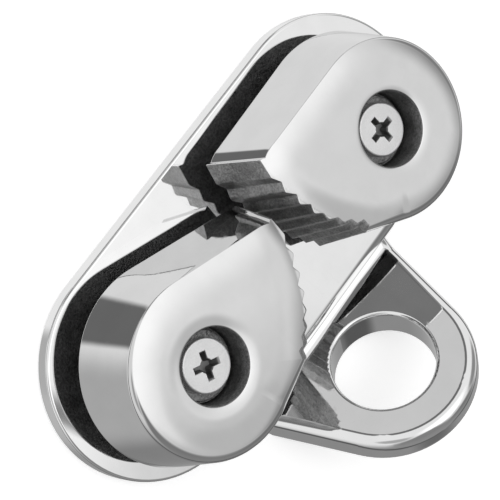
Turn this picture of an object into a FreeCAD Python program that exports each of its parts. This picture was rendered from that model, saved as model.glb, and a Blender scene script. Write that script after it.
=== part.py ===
import FreeCAD, Part
import math
import os

V = FreeCAD.Vector
os.makedirs("parts", exist_ok=True)

# ---------------------------------------------------------------- dimensions (mm)
# Stainless cam cleat with an inclined leading ring.  Underside on Z = 0, origin
# midway between the two pivots, X along the pivot line, -Y is the loaded rope side.
PIVOT = 19.0                 # half of the 38 mm fastener spacing

PLATE_T = 2.4                # base plate thickness
PLATE_L = 19.85               # half length of the straight sides
PLATE_R = 14.5               # end radius and half width
PLATE_Y = 0.4                # the plate sits a little off the pivot line, away from the ring
PLATE_EDGE = 0.4             # polished rounding of the top edge
PLATE_FOOT = 0.3             # small rounding of the bottom edge
SHOULDER_Y = -14.1           # where the ring side of the plate starts to roll over
SHOULDER_R = 2.0

BOSS_R = 5.6                 # raised pad under each cam
BOSS_TOP = 5.25
POST_R = 2.8                 # hollow post that the screw goes into
POST_TOP = 11.6
TAP_R = 1.65                 # tapped M4 bore, drawn at its core size
TAP_DEPTH = 4.0              # blind bore from the top of the post
MOUNT_R = 2.1                # M5 thread core in the underside
MOUNT_DEPTH = 5.0
DRILL_POINT = 31.0           # slope of the drilled end, degrees

BUSH_R = 3.4                 # sleeve that the cam turns on
BUSH_GAP = 0.03
THRUST_T = 0.4               # washer under the cam
THRUST_R = 5.3

CAM_BOTTOM = 5.7
CAM_TOP = 16.0
CAM_HUB_BOTTOM = 12.85       # hub radius at the underside, the wall leans in
CAM_HUB_TOP = 11.3
CAM_TIP_BOTTOM = 21.05       # nose reach from the pivot
CAM_TIP_TOP = 19.1
CAM_FLARE = 1.95             # how much further the teeth reach at the underside
CAM_BACK_ANGLE = 54.0        # from the nose to where the straight back meets the hub
CAM_FLANK_ANGLE = -93.0      # where the toothed side runs into the hub
CAM_EDGE = 0.9               # polished rounding of the hub's top edge
TOOTH_PITCH = 7.9            # degrees
TOOTH_COUNT = 7
TOOTH_FIRST = 7.4
TOOTH_DEPTH = (1.15, 1.2, 1.15, 0.85, 0.75, 0.65, 0.7)    # step behind each crest
CAM_BORE_R = 3.45
CBORE_R = 4.7
CBORE_FLOOR = 11.55
POCKET_R = 6.6               # spring pocket in the cam's underside, round a short sleeve
SLEEVE_R = 4.3
POCKET_TOP = 9.8
LEFT_ANGLE = 16.6            # nose angle of each cam from the pivot line, as they rest
RIGHT_ANGLE = 36.1

WASHER_R = 4.35              # retaining washer under the screw head
WASHER_T = 0.6
HEAD_R = 3.38                # cross-recess cheese head
HEAD_T = 1.75
SCREW_R = 1.62
SCREW_L = 4.2

SPRING_WIRE = 0.42           # wire radius
SPRING_R = 5.05              # mean coil radius
SPRING_Z0 = 6.2
SPRING_LEG = 6.15            # where the lower leg turns down past the boss
LEG_HOLE = 0.55
LEG_DEPTH = 0.9
SPRING_PITCH = 0.98
SPRING_TURNS = 2.75

RING_C = V(0, -22.4, 8.2)    # centre of the eye on the ring's front face
RING_TILT = 49.5             # degrees from the plate
RING_R = 11.95               # outer radius
RING_HOLE = 6.7
RING_T = 4.6
RING_FRONT = 1.6             # front edge rounding
RING_BACK = 1.3
RING_SPLAY = 17.0            # degrees, each side of the teardrop
WEB_FOOT = -8.3              # where the web's hollow meets the ring face, down its own plane
WEB_HOLLOW = 1.6
HOLE_EDGE = 0.5


def polar(r, deg, z=0.0):
    a = math.radians(deg)
    return V(r * math.cos(a), r * math.sin(a), z)


def cyl(r, z0, z1, x=0.0, y=0.0):
    return Part.makeCylinder(r, z1 - z0, V(x, y, z0))


def arc(a, b, c):
    return Part.Arc(a, b, c).toShape()


def line(a, b):
    return Part.LineSegment(a, b).toShape()


def clean(shape):
    """The single solid in a boolean result, with leftover seams merged."""
    s = shape.removeSplitter()
    return s.Solids[0] if len(s.Solids) == 1 else s


# ---------------------------------------------------------------- base casting
def stadium(r, z0, z1):
    l, y = PLATE_L, PLATE_Y
    w = Part.Wire([line(V(-l, y - r, z0), V(l, y - r, z0)),
                   arc(V(l, y - r, z0), V(l + r, y, z0), V(l, y + r, z0)),
                   line(V(l, y + r, z0), V(-l, y + r, z0)),
                   arc(V(-l, y + r, z0), V(-l - r, y, z0), V(-l, y - r, z0))])
    return Part.Face(w).extrude(V(0, 0, z1 - z0))


def edges_at(shape, z, tol=1e-3):
    return [e for e in shape.Edges
            if all(abs(v.Z - z) < tol for v in e.Vertexes) and abs(e.BoundBox.ZMax - e.BoundBox.ZMin) < tol]


def plate():
    p = stadium(PLATE_R, 0, PLATE_T)
    p = p.makeFillet(PLATE_EDGE, edges_at(p, PLATE_T))
    p = p.makeFillet(PLATE_FOOT, edges_at(p, 0))
    return p


def ring_frame():
    """Unit vectors of the ring's own plane: across it, up it, and out of its front face."""
    a = math.radians(RING_TILT)
    return V(1, 0, 0), V(0, -math.cos(a), math.sin(a)), V(0, math.sin(a), math.cos(a))


def ring():
    """Leading ring and its web: one bar section, cut to the teardrop outline."""
    ex, ed, en = ring_frame()

    def at(x, d, n=0.0):
        return RING_C + ex * x + ed * d + en * n

    foot = at(0, WEB_FOOT)                          # the web's hollow leaves the ring face here
    centre = foot + en * WEB_HOLLOW
    low = centre + V(0, 0, -WEB_HOLLOW)
    half = math.radians((90 - RING_TILT) / 2)
    mid = centre + V(0, -WEB_HOLLOW * math.sin(half), -WEB_HOLLOW * math.cos(half))
    crown_front, crown_back = at(0, 15), at(0, 15, -RING_T)
    k = crown_back.z / ed.z
    root = crown_back - ed * k                      # back face carried down to the underside
    pts = [V(-25, p.y, p.z) for p in (V(0, -12, 0), V(0, -12, low.z), low, mid, foot, crown_front,
                                      crown_back, root)]
    a, b, c, d, e, f, g, h = pts
    section = Part.Wire([line(a, b), line(b, c), arc(c, d, e), line(e, f), line(f, g), line(g, h), line(h, a)])
    bar = Part.Face(section).extrude(V(50, 0, 0))

    s = math.radians(RING_SPLAY)
    tx, td = RING_R * math.cos(s), RING_R * math.sin(s)
    root_d = -16.0
    root_x = tx + (td - root_d) * math.tan(s)
    outline = Part.Wire([arc(at(tx, td, 20), at(0, RING_R, 20), at(-tx, td, 20)),
                         line(at(-tx, td, 20), at(-root_x, root_d, 20)),
                         line(at(-root_x, root_d, 20), at(root_x, root_d, 20)),
                         line(at(root_x, root_d, 20), at(tx, td, 20))])
    body = bar.common(Part.Face(outline).extrude(en * -40))

    def on_wall(p):
        """True where a point lies on the teardrop's side wall."""
        x, dd = abs((p - RING_C).dot(ex)), (p - RING_C).dot(ed)
        if dd > td:
            return abs(math.hypot(x, dd) - RING_R) < 1e-3
        return abs(x - tx - (td - dd) * math.tan(s)) < 1e-3

    front = []
    for edge in body.Edges:
        u0, u1 = edge.FirstParameter, edge.LastParameter
        pts = [edge.valueAt(u0 + (u1 - u0) * t) for t in (0.02, 0.5, 0.98)]
        if not all(on_wall(p) for p in pts):
            continue
        depth = [(p - RING_C).dot(en) for p in pts]
        if min(depth) > -1e-3 and pts[1].z > 0.01 and min(p.y for p in pts) > -60:
            front.append(edge)
    body = body.makeFillet(RING_FRONT, front)
    back = [e for e in body.Edges
            if all(abs((e.valueAt(e.FirstParameter + (e.LastParameter - e.FirstParameter) * t) - RING_C).dot(en)
                       + RING_T) < 1e-3 for t in (0.02, 0.5, 0.98))
            and on_wall(e.valueAt((e.FirstParameter + e.LastParameter) / 2))]
    return body.makeFillet(RING_BACK, back)


def lobe():
    """Thickened edge of the plate where the ring grows out of it, rolled over on top."""
    c = V(-20, SHOULDER_Y, PLATE_T - SHOULDER_R)

    def roll(deg):
        a = math.radians(deg)
        return c + V(0, -SHOULDER_R * math.sin(a), SHOULDER_R * math.cos(a))

    pts = [V(-20, -10, 0), V(-20, -10, PLATE_T), roll(0), roll(40), roll(80), V(-20, roll(80).y, 0)]
    w = Part.Wire([line(pts[0], pts[1]), line(pts[1], pts[2]), arc(pts[2], pts[3], pts[4]),
                   line(pts[4], pts[5]), line(pts[5], pts[0])])
    bar = Part.Face(w).extrude(V(40, 0, 0))
    q = [V(x, y, -1) for x, y in ((-19.5, -9), (-19.5, -14.3), (-16.2, -16.3), (16.2, -16.3), (19.5, -14.3),
                                  (19.5, -9))]
    plan = Part.Face(Part.makePolygon(q + [q[0]])).extrude(V(0, 0, 6))
    return bar.common(plan)


def base():
    ex, ed, en = ring_frame()
    body = plate().fuse(lobe()).fuse(ring())
    for x in (-PIVOT, PIVOT):
        body = body.fuse(cyl(BOSS_R, PLATE_T - 0.5, BOSS_TOP, x))
        body = body.fuse(cyl(POST_R, PLATE_T - 0.5, POST_TOP, x))
    body = clean(body)
    body = body.cut(Part.makeCylinder(RING_HOLE, RING_T + 4, RING_C + en * 2, en * -1))
    rims = []
    for e in body.Edges:
        if e.Curve.TypeId != "Part::GeomCircle" or abs(e.Curve.Radius - RING_HOLE) > 1e-3:
            continue
        if abs((e.Curve.Center - RING_C).dot(en)) < 1e-3:         # rounded at the front only
            rims.append(e)
    body = body.makeFillet(HOLE_EDGE, rims)
    for x in (-PIVOT, PIVOT):
        body = body.cut(cyl(TAP_R, POST_TOP - TAP_DEPTH, POST_TOP + 1, x))
        body = body.cut(cyl(MOUNT_R, -1, MOUNT_DEPTH, x))
        point = MOUNT_R * math.tan(math.radians(DRILL_POINT))
        body = body.cut(Part.makeCone(MOUNT_R, 0, point, V(x, 0, MOUNT_DEPTH)))
        leg = math.copysign(SPRING_LEG, -x)
        body = body.cut(cyl(LEG_HOLE, PLATE_T - LEG_DEPTH, PLATE_T + 1, x + leg))
    return body


# ---------------------------------------------------------------- cams
def crest(delta):
    """Radius of the tooth crests, delta degrees round from the nose, at the top face."""
    return 19.6 - 0.182 * delta + 0.00125 * delta * delta


def cam_points(z, inset):
    """Corners of the cam's outline at height z, nose on angle 0, going round from the nose."""
    k = (z - CAM_BOTTOM) / (CAM_TOP - CAM_BOTTOM)
    hub = CAM_HUB_BOTTOM + (CAM_HUB_TOP - CAM_HUB_BOTTOM) * k
    tip = CAM_TIP_BOTTOM + (CAM_TIP_TOP - CAM_TIP_BOTTOM) * k
    flare = CAM_FLARE * (1 - k)
    nose = polar(tip, 0, z)
    back = polar(hub, CAM_BACK_ANGLE, z)
    far = polar(hub - inset, (CAM_BACK_ANGLE + 360 + CAM_FLANK_ANGLE) / 2, z)
    flank = polar(hub - inset, CAM_FLANK_ANGLE, z)
    teeth = []
    for i in range(TOOTH_COUNT):
        d = TOOTH_FIRST + TOOTH_PITCH * i
        teeth.append(polar(crest(d) + flare, -d, z))
        teeth.append(polar(crest(d) + flare - TOOTH_DEPTH[i], -d - 3.0, z))
        teeth.append(polar(crest(d + 7.0) + flare - 0.05, -d - 7.0, z))
    last = TOOTH_FIRST + TOOTH_PITCH * TOOTH_COUNT
    teeth.append(polar(crest(last) + flare, -last, z))
    return nose, back, far, flank, teeth


def rim(z, inset):
    nose, back, far, flank, teeth = cam_points(z, inset)
    return Part.Wire([arc(back, far, flank), line(flank, teeth[-1])])


def cam_blank():
    z1 = CAM_TOP - CAM_EDGE
    low, mid, top = cam_points(CAM_BOTTOM, 0), cam_points(z1, 0), cam_points(CAM_TOP, CAM_EDGE)
    faces = []

    def ring_of(pts):
        nose, back, far, flank, teeth = pts
        edges = [line(nose, back), arc(back, far, flank), line(flank, teeth[-1])]
        path = [teeth[i] for i in range(len(teeth) - 1, -1, -1)] + [nose]
        edges += [line(path[i], path[i + 1]) for i in range(len(path) - 1)]
        return edges

    e_low, e_mid, e_top = ring_of(low), ring_of(mid), ring_of(top)
    for i in (1, 2):                                  # hub and flank: wall, then rounded rim
        faces.append(Part.makeRuledSurface(e_low[i], e_mid[i]))
    steps = [i * 15.0 for i in range(7)]
    sections = [rim(z1 + CAM_EDGE * math.sin(math.radians(s)), CAM_EDGE * (1 - math.cos(math.radians(s))))
                for s in steps]
    faces += Part.makeLoft(sections, False, False).Faces
    for i in [0] + list(range(3, len(e_low))):        # back and teeth: one face to the top
        faces.append(Part.makeRuledSurface(e_low[i], e_top[i]))
    faces.append(Part.Face(Part.Wire(e_low)))
    faces.append(Part.Face(Part.Wire(e_top)))
    shell = Part.makeShell(faces)
    shell.sewShape(1e-3)
    solid = Part.makeSolid(shell.Shells[0] if shell.Shells else shell)
    if solid.Volume < 0:
        solid.reverse()
    return solid


def cam():
    body = cam_blank()
    body = body.cut(cyl(CBORE_R, CBORE_FLOOR, CAM_TOP + 1))
    body = body.cut(cyl(CAM_BORE_R, CAM_BOTTOM - 1, CAM_TOP + 1))
    pocket = cyl(POCKET_R, CAM_BOTTOM - 1, POCKET_TOP)
    body = body.cut(pocket.cut(cyl(SLEEVE_R, CAM_BOTTOM - 2, POCKET_TOP + 1)))
    lip = [e for e in body.Edges if e.Curve.TypeId == "Part::GeomCircle"
           and abs(e.Curve.Radius - CBORE_R) < 1e-3 and abs(e.Curve.Center.z - CAM_TOP) < 1e-3]
    body = body.makeFillet(0.25, lip)
    return body


def place_left(shape, angle=0.0):
    s = shape.copy()
    s.rotate(V(0, 0, 0), V(0, 0, 1), angle)
    s.translate(V(-PIVOT, 0, 0))
    return s


def place_right(shape, angle=0.0):
    return place_left(shape, angle).mirror(V(0, 0, 0), V(1, 0, 0))


# ---------------------------------------------------------------- pivot hardware
def bush():
    s = cyl(BUSH_R, BOSS_TOP, POST_TOP).cut(cyl(POST_R + BUSH_GAP, BOSS_TOP - 1, POST_TOP + 1))
    return s


def thrust_washer():
    z0 = BOSS_TOP
    return cyl(THRUST_R, z0, z0 + THRUST_T).cut(cyl(BUSH_R + 0.03, z0 - 1, z0 + 2))


def retaining_washer():
    z0 = POST_TOP
    w = cyl(WASHER_R, z0, z0 + WASHER_T)
    w = w.makeFillet(0.12, edges_at(w, z0 + WASHER_T))
    return w.cut(cyl(SCREW_R + 0.25, z0 - 1, z0 + 2))


def screw(turn):
    z0 = POST_TOP + WASHER_T
    head = cyl(HEAD_R, z0, z0 + HEAD_T)
    head = head.makeFillet(0.22, edges_at(head, z0 + HEAD_T))
    shank = cyl(SCREW_R, z0 - SCREW_L, z0 + 0.2)
    shank = shank.makeChamfer(0.3, edges_at(shank, z0 - SCREW_L))
    s = head.fuse(shank)
    top = z0 + HEAD_T
    wing = None
    for a in (0, 90):                                  # tapered wings of the cross recess
        lower = Part.Wire(Part.makePolygon([V(-1.05, -0.34, top - 1.3), V(1.05, -0.34, top - 1.3),
                                            V(1.05, 0.34, top - 1.3), V(-1.05, 0.34, top - 1.3),
                                            V(-1.05, -0.34, top - 1.3)]))
        upper = Part.Wire(Part.makePolygon([V(-2.0, -0.46, top + 0.2), V(2.0, -0.46, top + 0.2),
                                            V(2.0, 0.46, top + 0.2), V(-2.0, 0.46, top + 0.2),
                                            V(-2.0, -0.46, top + 0.2)]))
        w = Part.makeLoft([lower, upper], True, True)
        w.rotate(V(0, 0, 0), V(0, 0, 1), a)
        wing = w if wing is None else wing.fuse(w)
    core = Part.makeCone(0.55, 1.0, 1.5, V(0, 0, top - 1.3))
    wing = wing.fuse(core)
    s = clean(s.cut(wing))
    s.rotate(V(0, 0, 0), V(0, 0, 1), turn)
    return s


def spring():
    """Torsion spring: coil in the cam's pocket, lower leg turned down into the plate."""
    h = SPRING_PITCH * SPRING_TURNS
    path = Part.makeHelix(SPRING_PITCH, h, SPRING_R)
    path.translate(V(0, 0, SPRING_Z0))
    start = V(SPRING_R, 0, SPRING_Z0)
    section = Part.Wire([Part.makeCircle(SPRING_WIRE, start, V(0, 1, 0))])
    coil = Part.Wire(path.Edges).makePipeShell([section], True, True)
    knee = V(SPRING_LEG, 0, SPRING_Z0)
    foot_z = PLATE_T - LEG_DEPTH + 0.1
    s = coil.fuse(Part.makeSphere(SPRING_WIRE, start))
    s = s.fuse(Part.makeCylinder(SPRING_WIRE, SPRING_LEG - SPRING_R, start, V(1, 0, 0)))
    s = s.fuse(Part.makeSphere(SPRING_WIRE, knee))
    s = s.fuse(Part.makeCylinder(SPRING_WIRE, SPRING_Z0 - foot_z, V(SPRING_LEG, 0, foot_z)))
    turn = 360 * (SPRING_TURNS % 1)
    end = polar(SPRING_R, turn, SPRING_Z0 + h)
    s = s.fuse(Part.makeSphere(SPRING_WIRE, end))
    s = s.fuse(Part.makeCylinder(SPRING_WIRE, 1.0, end, polar(1, turn)))
    return clean(s)


# ---------------------------------------------------------------- write the nodes
def write(name, shape):
    shape.exportStep("parts/%s.step" % name)
    b = shape.BoundBox
    print("%-26s valid %-5s solids %d  vol %9.2f  x %.2f..%.2f y %.2f..%.2f z %.2f..%.2f" % (
        name, shape.isValid(), len(shape.Solids), shape.Volume,
        b.XMin, b.XMax, b.YMin, b.YMax, b.ZMin, b.ZMax))


write("base", base())
the_cam = cam()
write("left_cam", place_left(the_cam, LEFT_ANGLE))
write("right_cam", place_right(the_cam, RIGHT_ANGLE))
for side, place in (("left", place_left), ("right", place_right)):
    write(side + "_bush", place(bush()))
    write(side + "_thrust_washer", place(thrust_washer()))
    write(side + "_retaining_washer", place(retaining_washer()))
    write(side + "_spring", place(spring()))
write("left_screw", place_left(screw(-27)))
write("right_screw", place_right(screw(0)))
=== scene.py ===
import bmesh
import bpy
import math
from mathutils import Matrix, Vector, noise


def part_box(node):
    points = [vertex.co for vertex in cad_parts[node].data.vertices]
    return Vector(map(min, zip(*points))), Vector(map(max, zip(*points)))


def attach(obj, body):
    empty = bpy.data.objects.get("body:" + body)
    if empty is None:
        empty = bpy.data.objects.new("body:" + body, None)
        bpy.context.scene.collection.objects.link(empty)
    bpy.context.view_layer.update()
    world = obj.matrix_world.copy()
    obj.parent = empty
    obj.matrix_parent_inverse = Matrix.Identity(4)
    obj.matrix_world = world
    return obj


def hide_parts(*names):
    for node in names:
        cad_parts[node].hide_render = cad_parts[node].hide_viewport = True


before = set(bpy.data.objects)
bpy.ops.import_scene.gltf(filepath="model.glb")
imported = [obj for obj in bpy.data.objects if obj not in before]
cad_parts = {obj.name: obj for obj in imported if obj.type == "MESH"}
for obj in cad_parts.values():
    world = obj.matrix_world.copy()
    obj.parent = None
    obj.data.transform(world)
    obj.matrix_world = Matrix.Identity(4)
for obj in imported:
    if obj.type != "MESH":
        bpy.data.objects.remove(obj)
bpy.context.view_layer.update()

# Looks of the cam cleat: camera, soft studio, procedural materials and the two polished cams.
# Both cams are rebuilt below as finer meshes; every other node keeps the shape it was loaded with.
# Materials and studio are in metres, the cams' outlines and heights in millimetres.
MM = 0.001
PIVOT_X = 19.0                           # distance of each pivot from the middle plane

# ---------------------------------------------------------------- camera
CAMERA_TURN = Vector((0.2433482, 0.5111928, 0.8286443))      # object to camera, rotation vector
CAMERA_SHIFT = Vector((-1.656045, 0.759830, -283.791494))    # and shift, mm
LENS, SENSOR = 161.679, 36.0                                 # mm
CLIP_NEAR, CLIP_FAR = 0.01, 50.0                             # m


def make_camera():
    turn = Matrix.Rotation(CAMERA_TURN.length, 3, CAMERA_TURN.normalized())
    back = turn.transposed()
    m = back.to_4x4()
    m.translation = -(back @ CAMERA_SHIFT) / 1000.0
    data = bpy.data.cameras.new("camera")
    data.lens, data.sensor_width = LENS, SENSOR
    data.clip_start, data.clip_end = CLIP_NEAR, CLIP_FAR
    cam = bpy.data.objects.new("camera", data)
    cam.matrix_world = m
    bpy.context.scene.collection.objects.link(cam)
    bpy.context.scene.camera = cam


make_camera()


# ---------------------------------------------------------------- node helpers
class Tree:
    """A node tree with short ways to add nodes; each input takes a value or another socket."""

    def __init__(self, tree):
        self.tree = tree
        tree.nodes.clear()

    def link(self, source, target):
        self.tree.links.new(source, target)

    def feed(self, socket, value):
        if isinstance(value, bpy.types.NodeSocket):
            self.link(value, socket)
        else:
            socket.default_value = value

    def add(self, kind, **props):
        """in_Name or in_0 feeds an input by name or number; anything else is a node property."""
        node = self.tree.nodes.new(kind)
        for key, value in props.items():
            if key.startswith("in_"):
                name = key[3:].replace("_", " ")
                self.feed(node.inputs[int(name)] if name.isdigit() else node.inputs[name], value)
            else:
                setattr(node, key, value)
        return node

    def math(self, op, a, b=0.0):
        node = self.add("ShaderNodeMath", operation=op)
        self.feed(node.inputs[0], a)
        self.feed(node.inputs[1], b)
        return node.outputs[0]

    def blend(self, mask, a, b):
        node = self.add("ShaderNodeMix", data_type="FLOAT")
        for i, value in ((0, mask), (2, a), (3, b)):
            self.feed(node.inputs[i], value)
        return node.outputs[0]

    def remap(self, value, lo, hi, to_lo=0.0, to_hi=1.0):
        node = self.add("ShaderNodeMapRange", interpolation_type="SMOOTHSTEP")
        self.link(value, node.inputs["Value"])
        node.inputs["From Min"].default_value = lo
        node.inputs["From Max"].default_value = hi
        node.inputs["To Min"].default_value = to_lo
        node.inputs["To Max"].default_value = to_hi
        return node.outputs["Result"]


# ---------------------------------------------------------------- studio
AMBIENT = 0.86                           # brightness of the room between the panels
# Soft panels and dark flags, each laid over the ones before it:
# azimuth, elevation, inner and outer half angle in degrees, brightness.
PANELS = (
    (0, -90, 60, 92, 0.88),
    (68, 20, 17, 23, 0.16),
    (68, 20, 7, 10, 0.62),
    (350, 84, 8, 30, 1.30),
    (285, 22, 15, 36, 0.14),
    (235, 42, 20, 36, 0.22),
    (338, 30, 11, 25, 0.27),
    (250, -20, 30, 90, 0.27),
    (172, -54, 16, 36, 0.50),
    (225, 64, 5, 17, 0.24),
    (92, -45, 13.5, 19, 0.17),
    (293, 55, 3, 9, 0.62),
    (135, -67, 9, 16, 0.45),
    (166, 50, 8, 18, 0.42),
)
# Dark band all round, just under the horizon; heights are sines of the elevation.
BAND_MIDDLE, BAND_CORE, BAND_EDGE, BAND_LEVEL = -0.17, 0.06, 0.17, 0.10
GROUND_HALF, GROUND_SINK = 1.5, 0.0002   # half width of the floor; it lies this far under the object
GROUND_WHITE, GROUND_GLOW = 0.94, 0.50

bpy.context.scene.view_settings.view_transform = "Standard"


def direction_of(azimuth, elevation):
    az, el = math.radians(azimuth), math.radians(elevation)
    return (math.cos(el) * math.cos(az), math.cos(el) * math.sin(az), math.sin(el))


def make_world():
    world = bpy.data.worlds.new("studio")
    world.use_nodes = True
    bpy.context.scene.world = world
    t = Tree(world.node_tree)
    out = t.add("ShaderNodeOutputWorld")
    direction = t.add("ShaderNodeTexCoord").outputs["Generated"]
    norm = t.add("ShaderNodeVectorMath", operation="NORMALIZE", in_0=direction).outputs[0]
    level = AMBIENT
    for azimuth, elevation, inner, outer, value in PANELS:
        towards = t.add("ShaderNodeVectorMath", operation="DOT_PRODUCT", in_0=norm,
                        in_1=direction_of(azimuth, elevation)).outputs["Value"]
        mask = t.remap(towards, math.cos(math.radians(outer)), math.cos(math.radians(inner)))
        level = t.blend(mask, level, value)
    up = t.add("ShaderNodeSeparateXYZ", in_Vector=norm).outputs[2]
    off_middle = t.math("ABSOLUTE", t.math("SUBTRACT", up, BAND_MIDDLE))
    band = t.remap(off_middle, BAND_CORE, BAND_EDGE, 1.0, 0.0)
    level = t.blend(band, level, BAND_LEVEL)
    lit = t.add("ShaderNodeBackground", in_Color=level)
    backdrop = t.add("ShaderNodeBackground", in_Color=(1, 1, 1, 1), in_Strength=1.0)
    path = t.add("ShaderNodeLightPath")
    mix = t.add("ShaderNodeMixShader", in_0=path.outputs["Is Camera Ray"])
    t.link(lit.outputs[0], mix.inputs[1])
    t.link(backdrop.outputs[0], mix.inputs[2])
    t.link(mix.outputs[0], out.inputs[0])


def make_floor():
    me = bpy.data.meshes.new("floor")
    s = GROUND_HALF
    me.from_pydata([(-s, -s, 0), (s, -s, 0), (s, s, 0), (-s, s, 0)], [], [(0, 1, 2, 3)])
    o = bpy.data.objects.new("floor", me)
    o.location = (0, 0, -GROUND_SINK)
    bpy.context.scene.collection.objects.link(o)
    m = bpy.data.materials.new("floor_white")
    m.use_nodes = True
    t = Tree(m.node_tree)
    out = t.add("ShaderNodeOutputMaterial")
    b = t.add("ShaderNodeBsdfPrincipled", in_Base_Color=(GROUND_WHITE, GROUND_WHITE, GROUND_WHITE, 1),
              in_Roughness=0.8, in_Emission_Color=(1, 1, 1, 1), in_Emission_Strength=GROUND_GLOW)
    t.link(b.outputs[0], out.inputs[0])
    me.materials.append(m)
    o.visible_glossy = False


make_world()
make_floor()

# ---------------------------------------------------------------- materials
# Noise scales are per metre, so a scale of 1000 gives features about a millimetre across.
RIPPLE, SWEEP, HAZE, FINE, HAIRLINE = 95.0, 110.0, 260.0, 900.0, 1500.0      # polished steel
CAST_PATCH, CAST_PITS, CAST_GRIT = 420.0, 2600.0, 3200.0                     # as-cast steel
HEAD_PATCH, HEAD_GRAIN = 700.0, 5200.0                                       # screw heads
ACETAL_SPECK = 2400.0
RECESS_R = 0.0026                        # the cross recess lies within this radius
RECESS_DEEP, RECESS_SHALLOW = 0.0004, 0.00004    # depths between which the painted shade in the recess builds up
# How much of the head's colour is taken away deep in the cross recess: painted shade.
RECESS_PAINTED_SHADE = 0.78
SCREW_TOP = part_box("left_screw")[1].z


def new_material(name):
    """An empty node material with its tree, output node and object coordinates."""
    m = bpy.data.materials.new(name)
    m.use_nodes = True
    t = Tree(m.node_tree)
    out = t.add("ShaderNodeOutputMaterial")
    return m, t, out, t.add("ShaderNodeTexCoord").outputs["Object"]


def finish_noise(t, coord, scale, detail=2.0, stretch=(1, 1, 1), rough=0.5):
    m = t.add("ShaderNodeMapping", in_Vector=coord, in_Scale=stretch)
    n = t.add("ShaderNodeTexNoise", in_Vector=m.outputs[0], in_Scale=scale, in_Detail=detail,
              in_Roughness=rough)
    return n.outputs["Fac"]


def grey(t, shade):
    colour = t.add("ShaderNodeCombineColor")
    for i in range(3):
        t.link(shade, colour.inputs[i])
    return colour.outputs[0]


def polished(name, value, rough, wave, grain=0.06, tint=(1.0, 1.0, 1.0), bands=0.0):
    """Mirror-polished metal: buffing ripple, faint haze and hairlines, no single flat tone."""
    m, t, out, coord = new_material(name)
    ripple = finish_noise(t, coord, RIPPLE, 1.5)
    fine = finish_noise(t, coord, FINE, 3.0, (1.0, 0.25, 1.0))
    haze = finish_noise(t, coord, HAZE, 4.0)
    hair = finish_noise(t, coord, HAIRLINE, 2.0, (1.0, 0.04, 1.0))
    height = t.math("ADD", t.math("MULTIPLY", ripple, wave), t.math("MULTIPLY", fine, grain * 0.02))
    if bands:
        sweep = finish_noise(t, coord, SWEEP, 0.5, (1.0, 0.12, 1.0))
        height = t.math("ADD", height, t.math("MULTIPLY", sweep, bands))
    bump = t.add("ShaderNodeBump", in_Strength=1.0, in_Distance=0.001, in_Height=height)
    shade = t.remap(haze, 0.3, 0.7, value * 0.965, value)
    colour = t.add("ShaderNodeCombineColor")
    for i, c in enumerate(tint):
        t.link(t.math("MULTIPLY", shade, c), colour.inputs[i])
    hazed = t.remap(hair, 0.52, 0.75, rough, rough + 0.06)
    b = t.add("ShaderNodeBsdfPrincipled", in_Base_Color=colour.outputs[0], in_Metallic=1.0,
              in_Roughness=hazed, in_Normal=bump.outputs[0])
    t.link(b.outputs[0], out.inputs[0])
    return m


def cast_faces(name, value, rough):
    """As-cast, lightly tumbled steel: grainy, dull, dark in the hollows."""
    m, t, out, coord = new_material(name)
    grit = finish_noise(t, coord, CAST_GRIT, 5.0, rough=0.7)
    patch = finish_noise(t, coord, CAST_PATCH, 3.0)
    pits = t.add("ShaderNodeTexVoronoi", in_Vector=coord, in_Scale=CAST_PITS).outputs["Distance"]
    height = t.math("ADD", grit, t.math("MULTIPLY", pits, 0.5))
    bump = t.add("ShaderNodeBump", in_Strength=0.55, in_Distance=0.00012, in_Height=height)
    shade = t.math("MULTIPLY", t.remap(grit, 0.3, 0.7, 0.6, 1.25),
                   t.remap(patch, 0.3, 0.7, value * 0.8, value * 1.2))
    b = t.add("ShaderNodeBsdfPrincipled", in_Base_Color=grey(t, shade), in_Metallic=0.9,
              in_Roughness=t.remap(patch, 0.2, 0.8, rough - 0.06, rough + 0.08),
              in_Normal=bump.outputs[0])
    t.link(b.outputs[0], out.inputs[0])
    return m


def screw_steel(name, x):
    """Bright satin head with a frosty grain; the cross recess has painted shade inside."""
    m, t, out, coord = new_material(name)
    sep = t.add("ShaderNodeSeparateXYZ", in_Vector=coord)
    px, py = t.math("SUBTRACT", sep.outputs[0], x), sep.outputs[1]
    r = t.math("SQRT", t.math("ADD", t.math("MULTIPLY", px, px), t.math("MULTIPLY", py, py)))
    inside = t.math("LESS_THAN", r, RECESS_R)
    deep = t.remap(sep.outputs[2], SCREW_TOP - RECESS_DEEP, SCREW_TOP - RECESS_SHALLOW, 1.0, 0.0)
    recess = t.math("MULTIPLY", inside, deep)
    grain = finish_noise(t, coord, HEAD_GRAIN, 4.0, rough=0.65)
    patch = finish_noise(t, coord, HEAD_PATCH, 3.0)
    bump = t.add("ShaderNodeBump", in_Strength=0.35, in_Distance=0.00006, in_Height=grain)
    bright = t.math("MULTIPLY", t.remap(grain, 0.3, 0.7, 0.93, 1.0), t.remap(patch, 0.3, 0.7, 0.96, 1.0))
    # Painted shade: the head's colour is darkened inside the cross recess, deeper means darker.
    shade = t.math("MULTIPLY", bright, t.math("SUBTRACT", 1.0, t.math("MULTIPLY", recess, RECESS_PAINTED_SHADE)))
    b = t.add("ShaderNodeBsdfPrincipled", in_Base_Color=grey(t, shade), in_Metallic=0.85,
              in_Roughness=t.remap(grain, 0.2, 0.8, 0.34, 0.5), in_Normal=bump.outputs[0])
    t.link(b.outputs[0], out.inputs[0])
    return m


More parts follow.
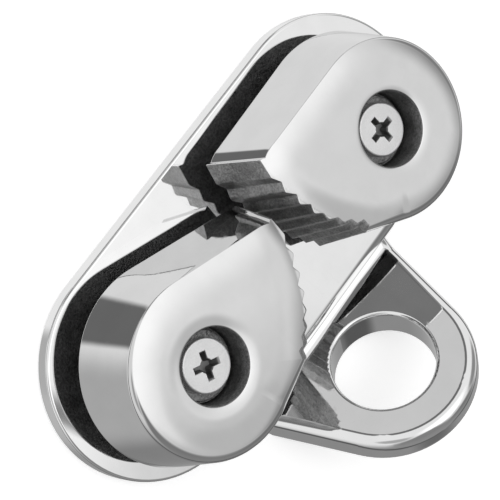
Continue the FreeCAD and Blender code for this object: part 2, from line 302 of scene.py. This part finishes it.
def acetal(name, value, rough):
    """Moulded plastic with a fine speckle."""
    m, t, out, coord = new_material(name)
    speck = finish_noise(t, coord, ACETAL_SPECK, 4.0)
    bump = t.add("ShaderNodeBump", in_Strength=0.3, in_Distance=0.00004, in_Height=speck)
    shade = t.remap(speck, 0.3, 0.7, value * 0.8, value * 1.25)
    b = t.add("ShaderNodeBsdfPrincipled", in_Base_Color=grey(t, shade),
              in_Roughness=t.remap(speck, 0.3, 0.7, rough - 0.05, rough + 0.08),
              in_Normal=bump.outputs[0])
    t.link(b.outputs[0], out.inputs[0])
    return m


# ---------------------------------------------------------------- mesh helpers
WELD = 1e-8                              # vertices closer than this are one, m
SHARP_ANGLE = 32.0                       # edges that turn by more stay crisp, degrees


def closed_skin(name, loops, mats, paint):
    """A closed piece skinned over equally long loops of points in mm, the last joined to the first.

    paint(k, i) gives the material number of face i in the strip after loop k.
    """
    n = len(loops[0])
    faces, zones = [], []
    for k in range(len(loops)):
        a, b = k * n, ((k + 1) % len(loops)) * n
        faces += [(a + i, a + (i + 1) % n, b + (i + 1) % n, b + i) for i in range(n)]
        zones += [paint(k, i) for i in range(n)]
    me = bpy.data.meshes.new(name)
    me.from_pydata([tuple(c * MM for c in v) for loop in loops for v in loop], [], faces)
    me.polygons.foreach_set("material_index", zones)
    me.validate()
    bm = bmesh.new()
    bm.from_mesh(me)
    bmesh.ops.remove_doubles(bm, verts=bm.verts, dist=WELD)
    bmesh.ops.recalc_face_normals(bm, faces=bm.faces)
    bm.to_mesh(me)
    bm.free()
    me.shade_smooth()
    me.set_sharp_from_angle(angle=math.radians(SHARP_ANGLE))
    for m in mats:
        me.materials.append(m)
    o = bpy.data.objects.new(name, me)
    bpy.context.scene.collection.objects.link(o)
    return o


def lerp(a, b, t):
    return a + (b - a) * t


def smooth(lo, hi, x):
    t = min(1.0, max(0.0, (x - lo) / (hi - lo)))
    return t * t * (3 - 2 * t)


# ---------------------------------------------------------------- cams
# Each cam is drawn round its own pivot with the nose at 0 degrees, in mm and degrees. LOW and HIGH
# are its underside and top. Hub and tip radii are given at the underside and at the top. The
# toothed side flares outwards towards the underside. The hub's arc runs from BACK_ANGLE, where the
# straight back wall ends, round to FLANK_ANGLE, where the toothed side begins.
LOW, HIGH = 5.7, 16.0
HUB_R, TIP_R, FLARE = (12.85, 11.3), (21.05, 19.1), 1.95
BACK_ANGLE, FLANK_ANGLE = 54.0, -93.0
TOOTH_FIRST, TOOTH_PITCH = 7.4, 7.9      # degrees from the nose to the first crest, and between crests
TOOTH_DEPTH = (1.15, 1.2, 1.15, 0.85, 0.75, 0.65, 0.7)      # step behind each crest
TOOTH_END = TOOTH_FIRST + TOOTH_PITCH * len(TOOTH_DEPTH)
STEP, RISE = 3.0, 7.0                    # degrees from a crest to its step's foot, and to the rise's end
RISE_SINK = 0.05                         # the rise ends this far below the crest curve
TOOTH_SOFT = 0.16                        # how far each tooth corner is cut back
CREST = (19.6, -0.182, 0.00125)          # crest radius as a quadratic in degrees from the nose
DIP_AT, DIP_END, DIP = 0.7, 2.3, 0.31    # shallow polished dip in the back wall just behind the nose

BORE, CBORE, FLOOR, POCKET, SLEEVE, ROOF = 3.45, 4.7, 11.55, 6.6, 4.3, 9.8
RIM = 0.9                                # width of the rounded hub rim
RIM_SHARE, RIM_LEAST = 0.85, 0.12        # its drop: this share of the width, plus this much everywhere
RIM_GROWS, RIM_FADES = (BACK_ANGLE - 4, 150), (300, 330)    # degrees round the hub
PILLOW_W, PILLOW_DROP = 4.2, 0.29        # how far in the polished roll-off reaches, and how deep
PILLOW_SWAPS = (150, 240)                # degrees over which the back's roll-off gives way to the teeth's
ROOT_INSET, ROOT_SLANT = 0.45, 0.93      # the toothed edge's roll-off starts a little inside the crests
LIP_W, LIP_DROP, LIP_R = 1.9, 0.10, 0.22    # softer roll-off round the counterbore, and its rolled lip
ROLL_POWER = 2.4

# The outline's points: back wall (closer together over the first NOSE_RUN mm), hub, toothed side.
NOSE_POINTS, WALL_POINTS, HUB_POINTS, NOSE_RUN = 24, 44, 150, 3.0
FLANK_POINTS, TOOTH_POINTS, CORNER_POINTS = 12, 5, 4
TOOTH_START = WALL_POINTS + HUB_POINTS
CAST_START = TOOTH_START + 14            # the polish runs on a little way past the hub

# The loops from the underside inwards: softened foot, wall, rounded rim, top face, lip, bore.
FOOT = ((0, 0.22, 0.0), (0, 0.09, 0.04), (0.005, 0.02, 0.13))    # height fraction, inset, lift
WALL_LOOPS, RIM_LOOPS, TOP_LOOPS, LIP_LOOPS = 16, 7, 44, 4
WALL_LIFT, TOP_BUNCH = 0.25, 0.06        # foot of the wall; top loops crowd towards both edges
BORE_STRIPS = 9                          # strips down the lip, the counterbore and the bore
TOP_AT = len(FOOT) + WALL_LOOPS + RIM_LOOPS
BORE_AT = TOP_AT + TOP_LOOPS
UNDER_AT = BORE_AT + BORE_STRIPS
MIRROR, CAST, BORED, UNDER = 0, 1, 2, 3  # material numbers

# As-cast unevenness of the toothed side: a coarse and a fine noise, each with its scale and height,
# about a surface sunk by CAST_SINK; it fades in over the first CAST_FADE above the underside.
CAST_SCALE, CAST_COARSE, CAST_FINE = 0.9, (1.3, 0.035), (4.1, 0.02)
CAST_SINK, CAST_FADE = 0.03, 1.5


def crest(delta):
    return CREST[0] + CREST[1] * delta + CREST[2] * delta * delta


def polar(r, deg):
    a = math.radians(deg)
    return Vector((r * math.cos(a), r * math.sin(a)))


def back_wall(nose, back):
    """The straight back wall from the nose to the hub, with the shallow dip behind the nose."""
    wall = back - nose
    inward = Vector((wall.y, -wall.x)).normalized()
    if inward.dot(nose + back) > 0:
        inward = -inward
    pts = []
    for i in range(WALL_POINTS):
        if i < NOSE_POINTS:
            s = NOSE_RUN * (i / NOSE_POINTS) ** 1.5
        else:
            s = NOSE_RUN + (wall.length - NOSE_RUN) * (i - NOSE_POINTS) / (WALL_POINTS - NOSE_POINTS)
        if s < DIP_AT:
            sink = DIP * smooth(0, DIP_AT, s)
        else:
            sink = DIP * max(0.0, 1 - (s - DIP_AT) / (DIP_END - DIP_AT)) ** 2
        pts.append(nose + wall.normalized() * s + inward * sink)
    return pts


def toothed_side(flank, nose, flare):
    """From the hub along the teeth to the nose, each tooth corner a little softened."""
    teeth = []
    for i, depth in enumerate(TOOTH_DEPTH):
        d = TOOTH_FIRST + TOOTH_PITCH * i
        teeth += [(crest(d) + flare, -d), (crest(d) + flare - depth, -d - STEP),
                  (crest(d + RISE) + flare - RISE_SINK, -d - RISE)]
    teeth.append((crest(TOOTH_END) + flare, -TOOTH_END))
    corners = [flank] + [polar(*t) for t in reversed(teeth)] + [nose]
    pts = []

    def run(a, b, n):
        pts.extend(a.lerp(b, i / n) for i in range(n))

    prev = corners[0]
    for j in range(1, len(corners) - 1):
        p, q, r = corners[j - 1], corners[j], corners[j + 1]
        la, lb = (q - p).length, (r - q).length
        sa, sb = min(TOOTH_SOFT, la * 0.4), min(TOOTH_SOFT, lb * 0.4)
        a, b = q.lerp(p, sa / la), q.lerp(r, sb / lb)
        run(prev, a, FLANK_POINTS if j == 1 else TOOTH_POINTS)
        for s in range(CORNER_POINTS):
            t = s / CORNER_POINTS
            pts.append(a.lerp(q, t).lerp(q.lerp(b, t), t))
        prev = b
    run(prev, nose, TOOTH_POINTS)
    return pts


def cam_outline(k):
    """The cam's outline at height fraction k (0 underside, 1 top), from the nose round the hub."""
    hub, tip = lerp(*HUB_R, k), lerp(*TIP_R, k)
    pts = back_wall(polar(tip, 0), polar(hub, BACK_ANGLE))
    sweep = 360 + FLANK_ANGLE - BACK_ANGLE
    pts.extend(polar(hub, BACK_ANGLE + sweep * i / HUB_POINTS) for i in range(HUB_POINTS))
    pts.extend(toothed_side(polar(hub, 360 + FLANK_ANGLE), pts[0], FLARE * (1 - k)))
    return pts


def roll(d, width, drop):
    """How far a face has rolled off at distance d inside its edge."""
    t = min(1.0, max(0.0, 1 - d / width))
    return drop * t ** ROLL_POWER


def top_height(x, y):
    """Height of the polished top face: pillowed at the rim, softer still round the counterbore."""
    r, a = math.hypot(x, y), math.degrees(math.atan2(y, x))
    hub = HUB_R[1]
    if a < FLANK_ANGLE:
        a += 360
    if a >= BACK_ANGLE:
        from_back = from_teeth = hub - r
        back_share = 1 - smooth(*PILLOW_SWAPS, a)
        teeth_share = 1 - back_share
    else:
        back_share = teeth_share = 1.0
        from_back = hub - r * math.cos(math.radians(a - BACK_ANGLE))
        delta = -a
        if delta > TOOTH_END:
            reach = lerp(crest(TOOTH_END), hub, (delta - TOOTH_END) / (-FLANK_ANGLE - TOOTH_END))
        else:
            reach = crest(max(delta, -20))
        from_teeth = (reach - ROOT_INSET - r) * ROOT_SLANT
    z = (HIGH - back_share * roll(from_back, PILLOW_W, PILLOW_DROP)
         - teeth_share * roll(from_teeth, PILLOW_W, PILLOW_DROP))
    return z - roll(r - CBORE, LIP_W, LIP_DROP)


def make_cam(name, side, angle, mats):
    """One polished cam: side is 1 for the left and -1 for the right, angle its rest angle."""
    low, high = cam_outline(0), cam_outline(1)
    n = len(low)
    angles = [math.atan2(p.y, p.x) for p in high]

    def place(p, z):
        a = math.radians(angle)
        x = p.x * math.cos(a) - p.y * math.sin(a) - PIVOT_X
        y = p.x * math.sin(a) + p.y * math.cos(a)
        return (x * side, y, z)

    def circle(r, z):
        return [place(Vector((r * math.cos(a), r * math.sin(a))), z) for a in angles]

    def foot(k, inset, lift):
        ring = [low[i].lerp(high[i], k) for i in range(n)]
        return [place(p - p.normalized() * inset, lerp(LOW, HIGH, k) + lift) for p in ring]

    def rim(i):
        """Width of the rounded rim: none along the back and the teeth, full round the hub."""
        d = math.degrees(angles[i]) % 360
        return RIM * smooth(*RIM_GROWS, d) * (1 - smooth(*RIM_FADES, d)) if i < n - 1 else 0.0

    tops = []                            # inner edge of the rim, its height, top of the wall below
    for i in range(n):
        r = rim(i)
        inner = high[i] - high[i].normalized() * r
        z = top_height(inner.x, inner.y)
        tops.append((inner, z, z - r * RIM_SHARE - RIM_LEAST))

    def wall_point(i, z):
        p = low[i].lerp(high[i], (z - LOW) / (HIGH - LOW))
        if i >= TOOTH_START:
            q = Vector((p.x * CAST_SCALE, p.y * CAST_SCALE, z * CAST_SCALE + angle))
            bump = (noise.noise(q * CAST_COARSE[0]) * CAST_COARSE[1]
                    + noise.noise(q * CAST_FINE[0]) * CAST_FINE[1])
            p = p - p.normalized() * (CAST_SINK + bump) * smooth(0, CAST_FADE, z - LOW)
        return place(p, z)

    def rim_point(i, t):
        inner, z, wall_top = tops[i]
        edge = low[i].lerp(high[i], (wall_top - LOW) / (HIGH - LOW))
        return place(edge.lerp(inner, 1 - math.cos(t)), lerp(wall_top, z, math.sin(t)))

    def top_point(i, t):
        inner = tops[i][0]
        p = inner.normalized() * lerp(inner.length, CBORE + LIP_R, t)
        return place(p, top_height(p.x, p.y))

    loops = [foot(*edge) for edge in FOOT]
    for s in range(WALL_LOOPS):
        loops.append([wall_point(i, lerp(LOW + WALL_LIFT, tops[i][2], s / (WALL_LOOPS - 1)))
                      for i in range(n)])
    for s in range(1, RIM_LOOPS + 1):
        loops.append([rim_point(i, s / RIM_LOOPS * math.pi / 2) for i in range(n)])
    for s in range(1, TOP_LOOPS + 1):
        t = s / TOP_LOOPS
        t = t - TOP_BUNCH * math.sin(2 * math.pi * t)
        loops.append([top_point(i, t) for i in range(n)])
    lip_z = top_height(CBORE + LIP_R, 0)
    for s in range(1, LIP_LOOPS + 1):
        t = s / LIP_LOOPS * math.pi / 2
        loops.append(circle(CBORE + LIP_R * (1 - math.sin(t)), lip_z - LIP_R * (1 - math.cos(t))))
    # counterbore, bore, then the underside with its spring pocket, as radius and height
    for r, z in ((CBORE, FLOOR + 0.2), (CBORE - 0.06, FLOOR + 0.06), (CBORE - 0.2, FLOOR),
                 (BORE + 0.12, FLOOR), (BORE, FLOOR - 0.12), (BORE, LOW + 0.1), (BORE + 0.1, LOW),
                 (SLEEVE - 0.1, LOW), (SLEEVE, LOW + 0.1), (SLEEVE, ROOF), (POCKET, ROOF),
                 (POCKET, LOW + 0.15), (POCKET + 0.15, LOW)):
        loops.append(circle(r, z))

    def paint(k, i):
        if k < 1 or k >= UNDER_AT:
            return UNDER
        if k < TOP_AT - 1 and i >= CAST_START:
            return CAST
        return BORED if k >= BORE_AT else MIRROR

    return closed_skin(name, loops, mats, paint)


# ---------------------------------------------------------------- assembly
cam_mirror = polished("cam_mirror_steel", 0.74, 0.03, wave=0.05)
cam_cast = cast_faces("cam_as_cast_teeth", 0.40, 0.34)
# Lip, counterbore and bore: a dull bored finish whose colour is kept dark as painted shade inside the
# recess.
cam_bore_painted_shade = cast_faces("cam_bored_wall_painted_shade", 0.24, 0.40)
# Underside and spring pocket: a dull finish whose colour is kept near black as painted shade for the gap
# over the plate.
cam_under_painted_shade = cast_faces("cam_underside_painted_shade", 0.12, 0.50)
NODE_MATERIALS = {
    "base": polished("base_mirror_steel", 0.90, 0.03, wave=0.05, bands=0.10),
    "bush": polished("bush_bronze", 0.75, 0.22, wave=0.0, grain=0.4, tint=(0.96, 0.74, 0.44)),
    "thrust_washer": acetal("washer_black_acetal", 0.03, 0.45),
    "spring": polished("spring_drawn_wire", 0.62, 0.18, wave=0.0, grain=0.5),
    "retaining_washer": cast_faces("washer_dull_steel", 0.35, 0.38),
    "left_screw": screw_steel("left_screw_satin_steel", -PIVOT_X * MM),
    "right_screw": screw_steel("right_screw_satin_steel", PIVOT_X * MM),
}
CAM_RESTS = (("left", 1, 16.6), ("right", -1, 36.1))     # side, its sign, rest angle of the nose

for name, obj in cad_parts.items():
    key = name if name in NODE_MATERIALS else name.split("_", 1)[-1]
    for slot in obj.material_slots:
        slot.material = NODE_MATERIALS.get(key, cam_mirror)
for side, sign, angle in CAM_RESTS:
    piece = make_cam(side + "_cam_polished", sign, angle, [cam_mirror, cam_cast, cam_bore_painted_shade, cam_under_painted_shade])
    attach(piece, side + "_cam")
    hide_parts(side + "_cam")
